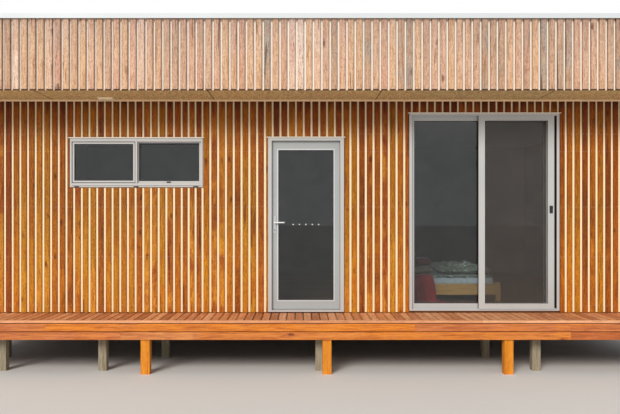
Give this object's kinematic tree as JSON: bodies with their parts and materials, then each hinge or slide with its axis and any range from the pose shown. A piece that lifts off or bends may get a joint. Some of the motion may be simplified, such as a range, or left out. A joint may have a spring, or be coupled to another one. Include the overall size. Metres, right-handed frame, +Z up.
{
  "type": "beach house",
  "caption": "Flat-roofed timber-clad beach house on stumps, with a narrow deck, boarded parapet, awning window, hinged glazed door and sliding door with screen.",
  "frame": {"origin": "centre of the plan at ground level, under the middle of the whole outline", "axes": "+X along the front wall to the right seen from the front, +Y towards the back, +Z up"},
  "size_m": [10.56, 7.16, 4.02],
  "materials": {
    "grey_timber": "weathered grey hardwood",
    "frame_timber": "sawn framing timber",
    "floor_boards": "satin floor boards",
    "post_timber": "oiled orange timber post",
    "trim_timber": "oiled deck trim boards",
    "deck_timber": "oiled deck boards",
    "wall_sheet": "cream backing sheet outside, painted lining inside",
    "wall_boards": "oiled upright hardwood boards",
    "ceiling_paint": "matt painted board",
    "soffit_board": "stained ply sheets",
    "roof_metal": "zinc-aluminium coated sheet",
    "capping_metal": "white folded sheet metal",
    "parapet_sheet": "cream backing sheet on timber frames",
    "parapet_boards": "weathered upright boards, pink-tan to grey",
    "window_metal": "pale grey powder coat",
    "pane_glass": "clear glass, slightly grey",
    "screen_mesh": "fine black woven mesh",
    "flashing_metal": "painted folded sheet metal",
    "lever_steel": "satin stainless steel",
    "black_latch": "black moulded latch",
    "lamp_white": "white lamp body with opal diffuser",
    "bed_timber": "clear finished pine",
    "mattress_cloth": "pale blue woven ticking",
    "cushion_cloth": "dark red cotton",
    "throw_cloth": "dark red knitted throw"
  },
  "bodies": {
    "house": {"stumps": "grey_timber", "bearers": "frame_timber", "floor_joists": "frame_timber", "floor": "floor_boards", "deck_posts": "post_timber", "deck_joists": "frame_timber", "deck_edge_boards": "trim_timber", "deck_boards": "deck_timber", "front_wall_piers": "wall_sheet", "front_wall_sill_panel": "wall_sheet", "front_wall_lintels": "wall_sheet", "left_wall": "wall_sheet", "right_wall": "wall_sheet", "back_wall": "wall_sheet", "front_cladding": "wall_boards", "end_cladding": "wall_boards", "back_cladding": "wall_boards", "ceiling": "ceiling_paint", "soffit": "soffit_board", "roof_joists": "frame_timber", "roof_purlins": "frame_timber", "roof_sheets": "roof_metal", "roof_gutter": "roof_metal", "parapet_long_frames": "parapet_sheet", "parapet_end_frames": "parapet_sheet", "parapet_cladding": "parapet_boards", "parapet_capping": "capping_metal", "window_frame": "window_metal", "window_sash": "window_metal", "window_glass": "pane_glass", "vent_window_frames": "window_metal", "vent_window_glass": "pane_glass", "head_flashings": "flashing_metal", "door_frame": "window_metal", "slider_frame": "window_metal", "slider_fixed_sash": "window_metal", "slider_fixed_glass": "pane_glass", "eave_light": "lamp_white", "bed_frame": "bed_timber", "mattress": "mattress_cloth", "cushions": "cushion_cloth", "throw": "throw_cloth"},
    "hinged_door": {"door_leaf": "window_metal", "door_glass": "pane_glass", "door_handle": "lever_steel"},
    "sliding_door": {"slider_leaf": "window_metal", "slider_leaf_glass": "pane_glass"},
    "screen_door": {"screen_door": "window_metal", "screen_mesh": "screen_mesh", "screen_latch": "black_latch"}
  },
  "joints": [
    {"name": "hinged_door_swing", "type": "hinge", "parent": "house", "child": "hinged_door", "pos_m": [0.378, -2.807, 0], "axis": [0, 0, -1], "range_deg": [0, 95]},
    {"name": "sliding_door_slide", "type": "slide", "parent": "house", "child": "sliding_door", "axis": [-1, 0, 0], "range_m": [0, 0.8]},
    {"name": "screen_door_slide", "type": "slide", "parent": "house", "child": "screen_door", "axis": [-1, 0, 0], "range_m": [0, 0.8]}
  ]
}
